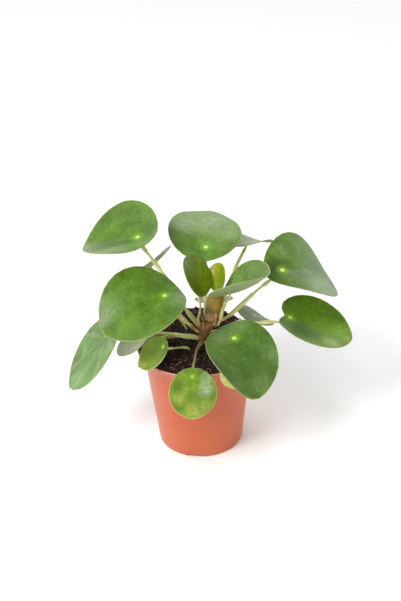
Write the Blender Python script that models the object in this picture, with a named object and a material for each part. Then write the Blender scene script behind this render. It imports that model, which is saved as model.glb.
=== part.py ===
# Chinese money plant in a plastic nursery pot: Blender 4.5, metres, +Z up, standing on z = 0.
# The origin is the centre of the pot's underside. The front of the plant faces -Y.

import math

import bmesh
import bpy
from mathutils import Vector, noise

MM = 0.001
GAP = 0.35  # mm between pieces that touch on the real plant

# Pot, in mm
POT_HEIGHT = 109.0
RIM_RADIUS = 60.0
BASE_RADIUS = 42.0
NECK_RADIUS = 53.0
NECK_HEIGHT = 95.0
WALL = 1.4
FLOOR_TOP = 5.0
CHANNEL_HEIGHT = 3.2
PAD_RADIUS = 20.0
FOOT_INNER_RADIUS = 37.5
POT_SIDES = 48
DRAIN_HOLES = 6
DRAIN_HOLE_RADIUS = 4.0
DRAIN_CIRCLE_RADIUS = 28.5
FOOT_SLOTS = 4
SLOT_WIDTH = 20.0
SLOT_HEIGHT = 2.6
SLOT_TURN = 7.0  # degrees that the slots are turned from the front

# Soil, in mm
SOIL_EDGE_HEIGHT = 109.6
SOIL_CROWN_HEIGHT = 117.4
SOIL_TILT = 3.0  # mm that the mound is higher at the back
SOIL_LUMP = 1.1
SOIL_RADIUS = RIM_RADIUS - 2.2
SOIL_SIDES = 40
SOIL_RINGS = 9

# Stem, in mm: its axis from inside the soil to the growing tip, with the radius at each point
STEM_PATH = [
    ((3, -17, 106), 3.2),
    ((3.5, -16.5, 117), 3.2),
    ((6, -15, 126), 4.2),
    ((9.5, -13, 134), 6.6),
    ((12.5, -11.5, 139), 7.4),
    ((13, -11, 140.5), 6.4),
]
STEM_SIDES = 24
STEM_BARE_HEIGHTS = (106, 112, 117, 121)
SCALE_ROWS = [(124.5, 0), (128, 2), (132, 1)]  # height of each row of dry scales, and its turn in sides
SCALE_OUTLINE = (0.25, 0.8, 1.0, 0.8)  # how far each of a scale's four points rises
SCALE_RISE = 7.0
SCALE_LEAN = 1.7  # mm that a scale in front stands off the bark
SCALE_LEAN_BEHIND = 0.25
SCALE_INSIDE = 0.6  # share of the lean where its inner face is
SCALE_FRONT = -110.0  # degrees: the side where the scales stand off the most

# Sheath: a pleated membrane round the growing tip, in mm
SHEATH_FOOT = (13.2, -10.8, 141.3)
SHEATH_TOP = (18, -8, 160.5)
SHEATH_FOOT_RADIUS = 7.0
SHEATH_TOP_RADIUS = 8.6
SHEATH_WALL = 0.9
SHEATH_FLOOR = 1.4
SHEATH_FLATNESS = 0.28  # how much narrower its mouth is from front to back
SHEATH_SIDES = 20

# Leaf blades. "at" is the point where the stalk meets the blade, in mm. Heading is the way that the
# tip points, in degrees from +X towards +Y, pitch lifts the tip and roll lifts its left side.
# Length, width, tip, cup and saddle are in mm, fold, droop, curl, twist and corner in degrees.
LEAF_DEFAULTS = dict(
    base=0.3, egg=0.05, tip=1.5, corner=0, notch=0, fold=(8, 8), droop=10, curl=5, cup=1, twist=0,
    saddle=0, roll=0, thick=1.0, tone="green",
)
LEAVES = {
    "top_left": dict(
        at=(-54, 20, 216), heading=165, pitch=-12, roll=-14, length=79, width=80, fold=(17, 25),
        droop=19, curl=-23, cup=4, twist=6,
    ),
    "top_back": dict(
        at=(11, 35, 196), heading=91, pitch=15, roll=-3, length=77, width=73, base=0.27, egg=0, tip=4,
        corner=-14, fold=(17, 1), droop=12, curl=2, twist=6,
    ),
    "large_left": dict(
        at=(-30, -28, 179), heading=205, pitch=-5, roll=-8, length=84, width=83, base=0.23, tip=2,
        corner=10, fold=(8, 23), droop=28, curl=18, cup=-1, twist=-12,
    ),
    "low_left": dict(
        at=(-90, -10, 125), heading=203, pitch=-49, roll=9, length=81, width=77, base=0.27, tip=3,
        fold=(1, 1), droop=5, curl=3,
    ),
    "low_left_rear": dict(
        at=(-58, -9, 118.5), heading=174, pitch=-28, roll=-8, length=35, width=36, tip=0, fold=(6, 6),
        droop=8,
    ),
    "small_left": dict(
        at=(-33, -38, 128), heading=178, pitch=-54, roll=-19, length=36, width=35, base=0.23, tip=2,
        fold=(4, 10), droop=4, curl=0, cup=4,
    ),
    "front": dict(
        at=(-6, -68, 113), heading=-89, pitch=-61, roll=-8, length=48, width=46, base=0.19, egg=0,
        tip=1, fold=(0, 1), cup=0,
    ),
    "front_right": dict(
        at=(35, -38, 135), heading=-71, pitch=-17, roll=13, length=83, width=69, base=0.26, egg=-0.02,
        tip=2, corner=11, fold=(3, 25), droop=25, curl=12, cup=-2, twist=-19,
    ),
    "front_right_young": dict(
        at=(31, -60, 114), heading=-70, pitch=-62, length=23.5, width=26, base=0.28, fold=(4, 4), droop=4,
        tone="young",
    ),
    "right": dict(
        at=(92, 5, 130), heading=-8, pitch=-24, roll=7, length=77, width=73, base=0.2, tip=2,
        notch=9, fold=(12, 10), droop=0, curl=13, cup=2,
    ),
    "upper_right": dict(
        at=(84, 5, 183), heading=32, pitch=-4, roll=20, length=86, width=82, base=0.21, egg=-0.23,
        tip=4, corner=-5, fold=(11, 9), droop=40, curl=24, cup=-1, twist=8,
    ),
    "low_right_rear": dict(
        at=(59, 38.5, 114), heading=55, pitch=-20, roll=18, length=41, width=42, base=0.46, egg=0.11,
        tip=3, fold=(4, 13), droop=19, curl=4, cup=-1,
    ),
    "back_right": dict(
        at=(52, 58, 187), heading=88, pitch=-17, length=50, width=54, fold=(4, 4), droop=4, saddle=8,
    ),
    "back_left": dict(
        at=(-43, 32, 177.5), heading=149, pitch=-45, length=56, width=54, base=0.5, droop=2, curl=0, cup=2,
    ),
    "centre_right": dict(
        at=(31.6, -11.5, 169.2), heading=-36, pitch=24, roll=-6, length=62, width=64, base=0.21, egg=0.16,
        tip=2, fold=(42, 15), droop=0, curl=12, cup=4, twist=-3,
    ),
    "rear": dict(
        at=(18, 63, 119), heading=90, pitch=-20, length=36, width=40, base=0.4, fold=(3, 3), droop=4,
    ),
    "young_centre": dict(
        at=(5, -8.5, 174), heading=133, pitch=54, roll=19, length=42, width=41, base=0.2, egg=0.02, tip=0,
        fold=(9, 11), droop=9, curl=9, cup=2, tone="young",
    ),
    "youngest": dict(
        at=(20, 3, 166.8), heading=66, pitch=65, roll=-23, length=28.5, width=24, base=0.12,
        egg=0, tip=0, fold=(20, 20), droop=11, curl=4, tone="young",
    ),
}
BIG_LEAF = 55.0  # mm: longer blades get more sides
BLADE_SIDES = (20, 28)  # for small and big blades
BLADE_RINGS = (3, 4)

# Stalks. "foot" is where one leaves the stem: height in mm, azimuth in degrees, and how steeply it
# starts. "way" is what it passes on the way to its blade, in mm, and "radius" is at foot and blade.
STALKS = {
    "top_left": dict(
        foot=(133, 150, 45), way=[(-12, -2, 151), (-30, 5, 183), (-42, 11, 200)], radius=(1.8, 1.4),
    ),
    "top_back": dict(foot=(135, 100, 60), way=[(9, 7, 152), (9, 20, 176)], radius=(1.8, 1.4)),
    "large_left": dict(
        foot=(129, 170, 40), way=[(-8, -17, 140), (-17, -20, 153), (-23, -23, 163)], radius=(1.8, 1.4),
    ),
    "low_left": dict(foot=(123, 190, 20), way=[(-33, -12, 128), (-60, -11, 127)], radius=(1.8, 1.4)),
    "low_left_rear": dict(
        foot=(121.5, 140, 15), way=[(-28, -7, 121), (-47, -9.5, 119)], radius=(1.2, 0.9),
    ),
    "small_left": dict(
        way=[(-6, -22, 111), (-9, -25, 118), (-15, -28, 121), (-23, -32, 123)], radius=(1.1, 0.8),
    ),
    "front": dict(
        foot=(121, -100, 25), way=[(-1, -34, 122), (-3, -48, 121), (-5, -60, 116)], radius=(1.3, 1.0),
    ),
    "front_right": dict(foot=(128, -26, 25), way=[(20, -25, 131), (28, -32, 130)], radius=(1.8, 1.4)),
    "front_right_young": dict(
        foot=(120.5, -55, 15), way=[(16, -34, 122), (26, -50, 119)], radius=(1.1, 0.8),
    ),
    "right": dict(
        foot=(124.5, 5, 20), way=[(30, -11, 130), (57, -5, 131), (75, -1, 129)], radius=(1.6, 1.2),
    ),
    "upper_right": dict(
        foot=(133, 20, 40), way=[(32, -5, 141), (56, 0, 162), (71, 3, 173)], radius=(1.7, 1.3),
    ),
    "low_right_rear": dict(
        foot=(123.5, 50, 10), way=[(30, 6, 121), (41, 17, 120.5), (46, 25, 117), (50, 30, 112.5)],
        radius=(1.2, 0.9),
    ),
    "back_right": dict(foot=(136, 50, 42), way=[(26, 9, 150), (36, 29, 166)], radius=(1.5, 1.1)),
    "back_left": dict(
        way=[(-8, 10, 110), (-11, 12.5, 118), (-19, 19, 130), (-33, 27, 153)], radius=(1.1, 0.9),
    ),
    "centre_right": dict(
        foot=(136.5, -15, 60), way=[(25, -12.5, 151), (28.5, -12.7, 160)],
        radius=(1.5, 1.2),
    ),
    "rear": dict(foot=(125, 85, 15), way=[(9, 12, 127), (15, 40, 124)], radius=(1.2, 0.9)),
    "young_centre": dict(foot=(137, 195, 70), way=[(4.2, -12, 155)], radius=(1.4, 1.1)),
    "youngest": dict(
        way=[(13.5, -10.3, 143), (16, -8.5, 152), (18.5, -4.5, 161)], radius=(1.1, 0.9),
    ),
}
STALK_STEP = 4.5  # mm between the points of a stalk
SOIL_STALKS = ("small_left", "back_left")  # the ones that come up through the soil

COLOURS = {
    "terracotta plastic": ((0.62, 0.17, 0.08), 0.45),
    "soil": ((0.020, 0.011, 0.009), 0.95),
    "stem": ((0.20, 0.085, 0.045), 0.6),
    "sheath": ((0.38, 0.17, 0.035), 0.5),
    "stalk": ((0.38, 0.42, 0.12), 0.4),
    "green leaf": ((0.065, 0.20, 0.028), 0.32),
    "young leaf": ((0.16, 0.26, 0.02), 0.32),
}


def clear_scene():
    for item in list(bpy.data.objects):
        bpy.data.objects.remove(item, do_unlink=True)


def material(name):
    found = bpy.data.materials.get(name)
    if found:
        return found
    colour, roughness = COLOURS[name]
    made = bpy.data.materials.new(name)
    made.use_nodes = True
    shader = made.node_tree.nodes["Principled BSDF"]
    shader.inputs["Base Color"].default_value = (*colour, 1)
    shader.inputs["Roughness"].default_value = roughness
    shader.inputs["Metallic"].default_value = 0
    made.diffuse_color = (*colour, 1)
    return made


def object_from(name, mesh, material_name, smooth=True):
    made = bpy.data.objects.new(name, mesh)
    bpy.context.scene.collection.objects.link(made)
    made.data.materials.append(material(material_name))
    if smooth:
        mesh.shade_smooth()
        mesh.set_sharp_from_angle(angle=math.radians(50))
    return made


def mesh_from(name, bm):
    bmesh.ops.recalc_face_normals(bm, faces=bm.faces)
    mesh = bpy.data.meshes.new(name)
    bm.to_mesh(mesh)
    bm.free()
    return mesh


def circle(radius, height, sides):
    """Points round the pot's axis, in mm."""
    turns = [2 * math.pi * k / sides for k in range(sides)]
    return [Vector((math.cos(turn) * radius, math.sin(turn) * radius, height)) for turn in turns]


def revolved(name, profile, sides):
    """Turns a closed outline of (radius, height) in mm, whose first and last points are on the axis."""
    bm = bmesh.new()
    rings = []
    for radius, height in profile:
        if radius == 0:
            rings.append([bm.verts.new((0, 0, height * MM))])
            continue
        rings.append([bm.verts.new(point * MM) for point in circle(radius, height, sides)])
    for lower, upper in zip(rings, rings[1:]):
        for k in range(sides):
            turn = ((lower, k), (lower, k + 1), (upper, k + 1), (upper, k))
            bm.faces.new(list(dict.fromkeys(ring[n % len(ring)] for ring, n in turn)))
    return mesh_from(name, bm)


def apply_modifiers(item):
    graph = bpy.context.evaluated_depsgraph_get()
    mesh = bpy.data.meshes.new_from_object(item.evaluated_get(graph))
    item.modifiers.clear()
    item.data = mesh


def cut(item, cutters):
    """Takes the cutters out of the item with one Boolean, and removes them."""
    group = bpy.data.collections.new(item.name + " tools")
    bpy.context.scene.collection.children.link(group)
    for cutter in cutters:
        for owner in list(cutter.users_collection):
            owner.objects.unlink(cutter)
        group.objects.link(cutter)
    modifier = item.modifiers.new("cut", "BOOLEAN")
    modifier.operation = "DIFFERENCE"
    modifier.operand_type = "COLLECTION"
    modifier.collection = group
    apply_modifiers(item)
    for cutter in list(group.objects):
        bpy.data.objects.remove(cutter, do_unlink=True)
    bpy.data.collections.remove(group)


def smooth_path(points, step):
    """Points about a step apart on a Catmull-Rom curve through the given points, in mm."""
    given = [Vector(p) for p in points]
    ends = [2 * given[0] - given[1], *given, 2 * given[-1] - given[-2]]
    path = [given[0]]
    for a, b, c, d in zip(ends, ends[1:], ends[2:], ends[3:]):
        pieces = max(1, round((c - b).length / step))
        for k in range(1, pieces + 1):
            t = k / pieces
            bow = (2 * a - 5 * b + 4 * c - d) * t**2 + (3 * b - a - 3 * c + d) * t**3
            path.append(0.5 * (2 * b + (c - a) * t + bow))
    return path


def tube(name, path, radii, material_name, resolution=1):
    """A round rod along a path in mm, as a curve with a bevel and filled caps."""
    curve = bpy.data.curves.new(name, "CURVE")
    curve.dimensions = "3D"
    curve.bevel_depth = MM
    curve.bevel_resolution = resolution
    curve.use_fill_caps = True
    spline = curve.splines.new("POLY")
    spline.points.add(len(path) - 1)
    for point, place, radius in zip(spline.points, path, radii):
        point.co = (*(place * MM), 1)
        point.radius = radius
    made = bpy.data.objects.new(name, curve)
    bpy.context.scene.collection.objects.link(made)
    made.data.materials.append(material(material_name))
    return made


def pot():
    """The pot: a tapered wall, a flared rim, and a floor with a foot ring, drain holes and slots."""
    under = [
        (0, 0), (PAD_RADIUS, 0), (PAD_RADIUS + 0.8, CHANNEL_HEIGHT),
        (FOOT_INNER_RADIUS - 0.6, CHANNEL_HEIGHT), (FOOT_INNER_RADIUS, 0),
    ]
    outside = [
        (BASE_RADIUS - 1.0, 0), (BASE_RADIUS, 1.2), (NECK_RADIUS, NECK_HEIGHT),
        (NECK_RADIUS + 1.1, NECK_HEIGHT + 4.5), (NECK_RADIUS + 3.2, NECK_HEIGHT + 9),
        (RIM_RADIUS - 1.0, POT_HEIGHT - 1.8), (RIM_RADIUS, POT_HEIGHT - 1.0),
        (RIM_RADIUS - 0.2, POT_HEIGHT - 0.2), (RIM_RADIUS - 0.9, POT_HEIGHT),
    ]
    inside = [
        (RIM_RADIUS - 1.7, POT_HEIGHT - 0.6), (NECK_RADIUS + 1.9, NECK_HEIGHT + 9),
        (NECK_RADIUS - 0.3, NECK_HEIGHT + 4.5), (NECK_RADIUS - WALL, NECK_HEIGHT),
        (BASE_RADIUS - WALL + 0.6, FLOOR_TOP), (0, FLOOR_TOP),
    ]
    made = object_from("pot", revolved("pot", under + outside + inside, POT_SIDES), "terracotta plastic")
    cutters = []
    for k in range(DRAIN_HOLES):
        angle = math.radians(360 / DRAIN_HOLES * (k + 0.5))
        bpy.ops.mesh.primitive_cylinder_add(
            vertices=14, radius=DRAIN_HOLE_RADIUS * MM, depth=4 * FLOOR_TOP * MM,
            location=Vector((math.cos(angle), math.sin(angle), 0)) * DRAIN_CIRCLE_RADIUS * MM,
        )
        cutters.append(bpy.context.object)
    foot_middle = (FOOT_INNER_RADIUS + BASE_RADIUS) / 2
    for k in range(FOOT_SLOTS):
        angle = math.radians(-90 - SLOT_TURN + 360 / FOOT_SLOTS * k)
        bpy.ops.mesh.primitive_cube_add(
            size=1, location=Vector((math.cos(angle), math.sin(angle), 0)) * foot_middle * MM,
            rotation=(0, 0, angle),
        )
        ring_width = BASE_RADIUS - FOOT_INNER_RADIUS
        bpy.context.object.scale = Vector((2 * ring_width, SLOT_WIDTH, 2 * SLOT_HEIGHT)) * MM
        cutters.append(bpy.context.object)
    bpy.context.view_layer.update()
    cut(made, cutters)
    return made


def soil_height(x, y):
    """The mound's surface in mm: level with the rim at its edge, a little higher behind the stem."""
    share = min(1.0, math.hypot(x, y) / SOIL_RADIUS)
    behind = y / RIM_RADIUS
    rise = (SOIL_CROWN_HEIGHT - SOIL_EDGE_HEIGHT + SOIL_TILT * behind) * (1 - share ** (9 + 5 * behind))
    lump = noise.noise(Vector((x, y, 3)) / 9) + 0.6 * noise.noise(Vector((x, y, 11)) / 4.5)
    return SOIL_EDGE_HEIGHT + rise + SOIL_LUMP * lump * min(1.0, 6 * (1 - share))


def soil():
    """A plug that fills the pot, with a lumpy mound on top and a hole round each stalk that enters it."""
    bm = bmesh.new()
    sides = [
        (SOIL_RADIUS, POT_HEIGHT - 0.6), (NECK_RADIUS + 1.4, NECK_HEIGHT + 8.6),
        (NECK_RADIUS - 0.8, NECK_HEIGHT + 4.2), (NECK_RADIUS - WALL - 0.4, NECK_HEIGHT - 0.6),
        (BASE_RADIUS - WALL + 0.2, FLOOR_TOP + GAP),
    ]
    rings = [[Vector((0, 0, soil_height(0, 0)))]]
    for ring in range(1, SOIL_RINGS + 1):
        level = circle(SOIL_RADIUS * ring / SOIL_RINGS, 0, SOIL_SIDES)
        rings.append([Vector((p.x, p.y, soil_height(p.x, p.y))) for p in level])
    rings += [circle(radius, height, SOIL_SIDES) for radius, height in sides]
    rings.append([Vector((0, 0, FLOOR_TOP + GAP))])
    rings = [[bm.verts.new(point * MM) for point in ring] for ring in rings]
    for upper, lower in zip(rings, rings[1:]):
        for k in range(SOIL_SIDES):
            turn = ((upper, k), (lower, k), (lower, k + 1), (upper, k + 1))
            bm.faces.new(list(dict.fromkeys(ring[n % len(ring)] for ring, n in turn)))
    bmesh.ops.triangulate(bm, faces=bm.faces)
    made = object_from("soil", mesh_from("soil", bm), "soil")
    buried = [Vector(p) for p, _ in STEM_PATH[:3]]
    buried[0] -= (buried[1] - buried[0]).normalized() * GAP
    holes = [tube("hole", buried, [STEM_PATH[0][1] + 2 * GAP] * 3, "soil", 4)]
    for leaf in SOIL_STALKS:
        way = [Vector(p) for p in STALKS[leaf]["way"][:3]]
        way[0] -= (way[1] - way[0]).normalized() * GAP
        path = smooth_path(way, STALK_STEP)
        holes.append(tube("hole", path, [STALKS[leaf]["radius"][0] + 2 * GAP] * len(path), "soil"))
    cut(made, [meshed(hole) for hole in holes])
    return made


def meshed(item):
    """The same shape as a mesh object, with the curve object removed."""
    graph = bpy.context.evaluated_depsgraph_get()
    mesh = bpy.data.meshes.new_from_object(item.evaluated_get(graph))
    bm = bmesh.new()
    bm.from_mesh(mesh)
    bmesh.ops.remove_doubles(bm, verts=bm.verts, dist=0.00001)
    bmesh.ops.recalc_face_normals(bm, faces=bm.faces)
    bm.to_mesh(mesh)
    bm.free()
    name = item.name
    bpy.data.objects.remove(item, do_unlink=True)
    made = bpy.data.objects.new(name, mesh)
    bpy.context.scene.collection.objects.link(made)
    return made


def leaf_frame(leaf):
    """Unit vectors along the blade to its tip, across it to the left, and up out of its face."""
    heading, pitch, roll = (math.radians(leaf[k]) for k in ("heading", "pitch", "roll"))
    level = Vector((-math.sin(heading), math.cos(heading), 0))
    ahead = Vector((math.cos(heading), math.sin(heading), 0))
    along = ahead * math.cos(pitch) + Vector((0, 0, math.sin(pitch)))
    face = along.cross(level)
    left = level * math.cos(roll) + face * math.sin(roll)
    return along, left, along.cross(left)


def flat_outline(leaf, turn):
    """The edge of the flat blade in mm, forward and left of the stalk, at an angle round its middle."""
    corner = math.radians(leaf["corner"])
    off_corner = (turn - corner + math.pi) % (2 * math.pi) - math.pi
    point = leaf["tip"] * math.exp(-((off_corner / 0.28) ** 2))
    sinus = leaf["notch"] * math.exp(-(((turn - math.pi) / 0.22) ** 2))
    forward = leaf["length"] * (0.5 - leaf["base"]) + leaf["length"] / 2 * math.cos(turn)
    left = leaf["width"] / 2 * math.sin(turn) * (1 - leaf["egg"] * math.cos(turn))
    return forward + point * math.cos(corner) + sinus, left + point * math.sin(corner)


def bent(leaf, forward, left):
    """Where a point of the flat blade goes once the blade is folded, drooped, cupped and twisted, in mm."""
    fold = math.radians(leaf["fold"][0 if left > 0 else 1]) * abs(left) / (abs(left) + 8)
    across = left * math.cos(fold)
    rise = abs(left) * math.sin(fold)
    if forward > 0:
        bend = math.radians(leaf["droop"]) * forward / (leaf["length"] * (1 - leaf["base"]))
    else:
        bend = math.radians(leaf["curl"]) * -forward / (leaf["length"] * leaf["base"])
    if abs(bend) > 1e-6:
        rise -= abs(forward) * (1 - math.cos(bend)) / bend
        along = forward * math.sin(bend) / bend
    else:
        along = forward
    half = leaf["length"] / 2
    rise += leaf["cup"] * (forward**2 + left**2) / half**2 + leaf["saddle"] * forward * left / half**2
    turn = math.radians(leaf["twist"]) * forward / half
    left = across * math.cos(turn) - rise * math.sin(turn)
    return along, left, across * math.sin(turn) + rise * math.cos(turn)


def blade(name):
    """A thin waved blade, split into triangles alike on both faces."""
    leaf = {**LEAF_DEFAULTS, **LEAVES[name]}
    size = 1 if leaf["length"] > BIG_LEAF else 0
    sides, rings = BLADE_SIDES[size], BLADE_RINGS[size]
    along, left, face = leaf_frame(leaf)
    start = Vector(leaf["at"])
    bm = bmesh.new()
    middle = bm.verts.new(start * MM)
    loops = []
    for ring in range(1, rings + 1):
        share = (ring / rings) ** 0.9
        loop = []
        for k in range(sides):
            u, v = flat_outline(leaf, 2 * math.pi * k / sides)
            a, b, c = bent(leaf, u * share, v * share)
            loop.append(bm.verts.new((start + along * a + left * b + face * c) * MM))
        loops.append(loop)
    for k in range(sides):
        after = (k + 1) % sides
        bm.faces.new((middle, loops[0][k], loops[0][after]))
        for inner, outer in zip(loops, loops[1:]):
            bm.faces.new((inner[k], outer[k], outer[after]))
            bm.faces.new((inner[k], outer[after], inner[after]))
    mesh = bpy.data.meshes.new("blade_" + name)
    bm.to_mesh(mesh)
    bm.free()
    made = object_from("blade_" + name, mesh, leaf["tone"] + " leaf", smooth=False)
    mesh.shade_smooth()
    thicken = made.modifiers.new("thickness", "SOLIDIFY")
    thicken.thickness = leaf["thick"] * MM
    thicken.offset = -1
    return made


def on_stem(height):
    """The stem's axis and radius at a height, in mm."""
    for (low, thick), (high, thin) in zip(STEM_PATH, STEM_PATH[1:]):
        if height <= high[2]:
            break
    share = (height - low[2]) / (high[2] - low[2])
    return Vector(low).lerp(Vector(high), share), thick + (thin - thick) * share


def foot_of(height, azimuth, lift, radius):
    """Two points that start a stalk square to the way it leaves the stem, a gap off the bark."""
    out = Vector((math.cos(math.radians(azimuth)), math.sin(math.radians(azimuth)), 0))
    away = out * math.cos(math.radians(lift)) + Vector((0, 0, math.sin(math.radians(lift))))
    axis = on_stem(height)[0]
    reach = radius * math.cos(math.radians(lift))
    nearby = [on_stem(h) for h in (height - reach, height, height + reach)]
    widest = max((middle - axis).dot(out) + bark for middle, bark in nearby)
    start = axis + out * (widest + GAP + radius * math.sin(math.radians(lift)))
    return [start, start + away * 4 * radius]


def stalk(name):
    """A tapering stalk that turns towards the blade's underside and ends a gap below it."""
    leaf = {**LEAF_DEFAULTS, **LEAVES[name]}
    thick, thin = STALKS[name]["radius"]
    start = foot_of(*STALKS[name]["foot"], thick) if "foot" in STALKS[name] else []
    face = leaf_frame(leaf)[2]
    below = Vector(leaf["at"]) - face * (leaf["thick"] + GAP)
    onward = (below - Vector(STALKS[name]["way"][-1])).normalized()
    last = (onward + face).normalized()
    end = below - face * thin * math.sqrt(1 - last.dot(face) ** 2)
    path = smooth_path([*start, *STALKS[name]["way"], end - last * 3.5 * thin, end], STALK_STEP)
    count = len(path) - 1
    radii = [thick + (thin - thick) * min(1, 1.4 * k / count) for k in range(count + 1)]
    return tube("stalk_" + name, path, radii, "stalk")


def stem():
    """The short woody stem, wrapped in rows of dry pointed scales that stand off it in front."""
    bm = bmesh.new()
    turns = [2 * math.pi * k / STEM_SIDES for k in range(STEM_SIDES)]

    def ring(foot, rise, lean, shift=0):
        made = []
        for k, turn in enumerate(turns):
            axis, radius = on_stem(foot + rise * SCALE_OUTLINE[(k + shift) % len(SCALE_OUTLINE)])
            ahead = max(0.0, math.cos(turn - math.radians(SCALE_FRONT)))
            out = radius + lean * (SCALE_LEAN_BEHIND + (SCALE_LEAN - SCALE_LEAN_BEHIND) * ahead)
            made.append(bm.verts.new((axis + Vector((math.cos(turn), math.sin(turn), 0)) * out) * MM))
        return made

    rings = [ring(height, 0, 0) for height in STEM_BARE_HEIGHTS]
    for foot, shift in SCALE_ROWS:
        rings.append(ring(foot, 0, 0))
        rings.append(ring(foot, SCALE_RISE, 1, shift))
        rings.append(ring(foot, SCALE_RISE, SCALE_INSIDE, shift))
        rings.append(ring(foot + 1, 0, 0))
    top = STEM_PATH[-1][0][2]
    rings += [ring(top - 1.5, 0, 0), ring(top, 0, 0)]
    for low, high in zip(rings, rings[1:]):
        for k in range(STEM_SIDES):
            after = (k + 1) % STEM_SIDES
            bm.faces.new((low[k], low[after], high[after]))
            bm.faces.new((low[k], high[after], high[k]))
    bm.faces.new(rings[0])
    bm.faces.new(rings[-1])
    return object_from("stem", mesh_from("stem", bm), "stem")


def sheath():
    """A pleated cup of dry membrane that opens round the youngest stalk."""
    foot, top = Vector(SHEATH_FOOT), Vector(SHEATH_TOP)
    bm = bmesh.new()
    shares = (0, 0.3, 0.65, 1)
    walls = []
    for inset in (0, SHEATH_WALL):
        rings = []
        for share in shares:
            ring = []
            for k in range(SHEATH_SIDES):
                turn = 2 * math.pi * k / SHEATH_SIDES
                radius = SHEATH_FOOT_RADIUS + (SHEATH_TOP_RADIUS - SHEATH_FOOT_RADIUS) * share**0.8
                radius = radius * (1 + 0.07 * math.cos(5 * turn) * share) - inset
                lift = 1 - 0.14 * math.sin(turn) if share == 1 else share
                flat = 1 - SHEATH_FLATNESS * share
                floor = SHEATH_FLOOR if inset and share == 0 else 0
                spread = Vector((math.cos(turn) * radius, math.sin(turn) * radius * flat, floor))
                ring.append(bm.verts.new((foot.lerp(top, lift) + spread) * MM))
            rings.append(ring)
        walls.append(rings)
    outer, inner = walls
    for k in range(SHEATH_SIDES):
        after = (k + 1) % SHEATH_SIDES
        for rings in walls:
            for low, high in zip(rings, rings[1:]):
                bm.faces.new((low[k], low[after], high[after]))
                bm.faces.new((low[k], high[after], high[k]))
        bm.faces.new((outer[-1][k], outer[-1][after], inner[-1][after], inner[-1][k]))
    bm.faces.new(outer[0])
    bm.faces.new(inner[0])
    return object_from("sheath", mesh_from("sheath", bm), "sheath")


clear_scene()
pot()
soil()
stem()
sheath()
for leaf_name in LEAVES:
    blade(leaf_name)
    stalk(leaf_name)
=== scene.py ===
import math
import random

import bmesh
import bpy
from mathutils import Euler, Matrix, Vector
from mathutils.bvhtree import BVHTree


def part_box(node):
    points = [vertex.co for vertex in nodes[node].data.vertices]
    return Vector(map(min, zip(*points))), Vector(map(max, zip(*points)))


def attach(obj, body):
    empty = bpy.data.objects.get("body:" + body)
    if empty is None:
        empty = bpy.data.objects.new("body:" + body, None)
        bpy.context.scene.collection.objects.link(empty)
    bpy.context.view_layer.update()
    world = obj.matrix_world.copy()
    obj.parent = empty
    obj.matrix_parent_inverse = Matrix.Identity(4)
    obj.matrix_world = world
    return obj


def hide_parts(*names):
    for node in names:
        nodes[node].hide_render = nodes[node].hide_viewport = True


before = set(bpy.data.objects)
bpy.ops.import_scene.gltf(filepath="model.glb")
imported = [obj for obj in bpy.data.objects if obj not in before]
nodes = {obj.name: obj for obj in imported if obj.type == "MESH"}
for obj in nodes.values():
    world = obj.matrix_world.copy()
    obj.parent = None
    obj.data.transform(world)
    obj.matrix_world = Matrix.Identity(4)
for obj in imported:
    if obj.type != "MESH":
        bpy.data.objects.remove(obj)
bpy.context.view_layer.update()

mm = 0.001
leafNames = sorted(name[len("blade_"):] for name in nodes if name.startswith("blade_"))
sheathLow, sheathHigh = (Vector(corner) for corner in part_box("sheath"))
crown = Vector(((sheathLow.x + sheathHigh.x) / 2, (sheathLow.y + sheathHigh.y) / 2, sheathLow.z))
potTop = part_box("pot")[1][2]
print("frame loaded,", len(leafNames), "leaves")


# picking, copying and finishing pieces

def activate(piece):
    if bpy.context.mode != "OBJECT":
        bpy.ops.object.mode_set(mode="OBJECT")
    bpy.ops.object.select_all(action="DESELECT")
    piece.select_set(True)
    bpy.context.view_layer.objects.active = piece


def openForEdit(piece, pick="VERT"):
    activate(piece)
    bpy.ops.object.mode_set(mode="EDIT")
    bpy.ops.mesh.select_mode(type=pick)
    bpy.ops.mesh.select_all(action="DESELECT")


def closeEdit():
    bpy.ops.object.mode_set(mode="OBJECT")


def pickVerts(piece, test):
    mesh = bmesh.from_edit_mesh(piece.data)
    for vert in mesh.verts:
        vert.select = bool(test(vert))
    mesh.select_flush_mode()
    bmesh.update_edit_mesh(piece.data)


def pickEdges(piece, test):
    mesh = bmesh.from_edit_mesh(piece.data)
    for edge in mesh.edges:
        edge.select_set(bool(test(edge)))
    bmesh.update_edit_mesh(piece.data)


def pickFaces(piece, test):
    mesh = bmesh.from_edit_mesh(piece.data)
    mesh.normal_update()
    for face in mesh.faces:
        face.select_set(bool(test(face)))
    bmesh.update_edit_mesh(piece.data)


def applyLast(piece):
    activate(piece)
    bpy.ops.object.modifier_apply(modifier=piece.modifiers[-1].name)


def subdivide(piece, levels):
    modifier = piece.modifiers.new("smooth", "SUBSURF")
    modifier.levels = modifier.render_levels = levels
    applyLast(piece)


def ripple(piece, size, strength, direction="NORMAL", group="", middle=0.5):
    texture = bpy.data.textures.new("ripple", "CLOUDS")
    texture.noise_scale = size
    modifier = piece.modifiers.new("ripple", "DISPLACE")
    modifier.texture = texture
    modifier.texture_coords = "LOCAL"
    modifier.strength = strength
    modifier.mid_level = middle
    modifier.direction = direction
    modifier.vertex_group = group
    applyLast(piece)


weld = {
    "reach": 0.02,  # mm
    "quadAngle": 60,  # degrees
    "quadShape": 80,
    "sharp": 45,  # edges above this stay sharp in the shading
}


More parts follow.
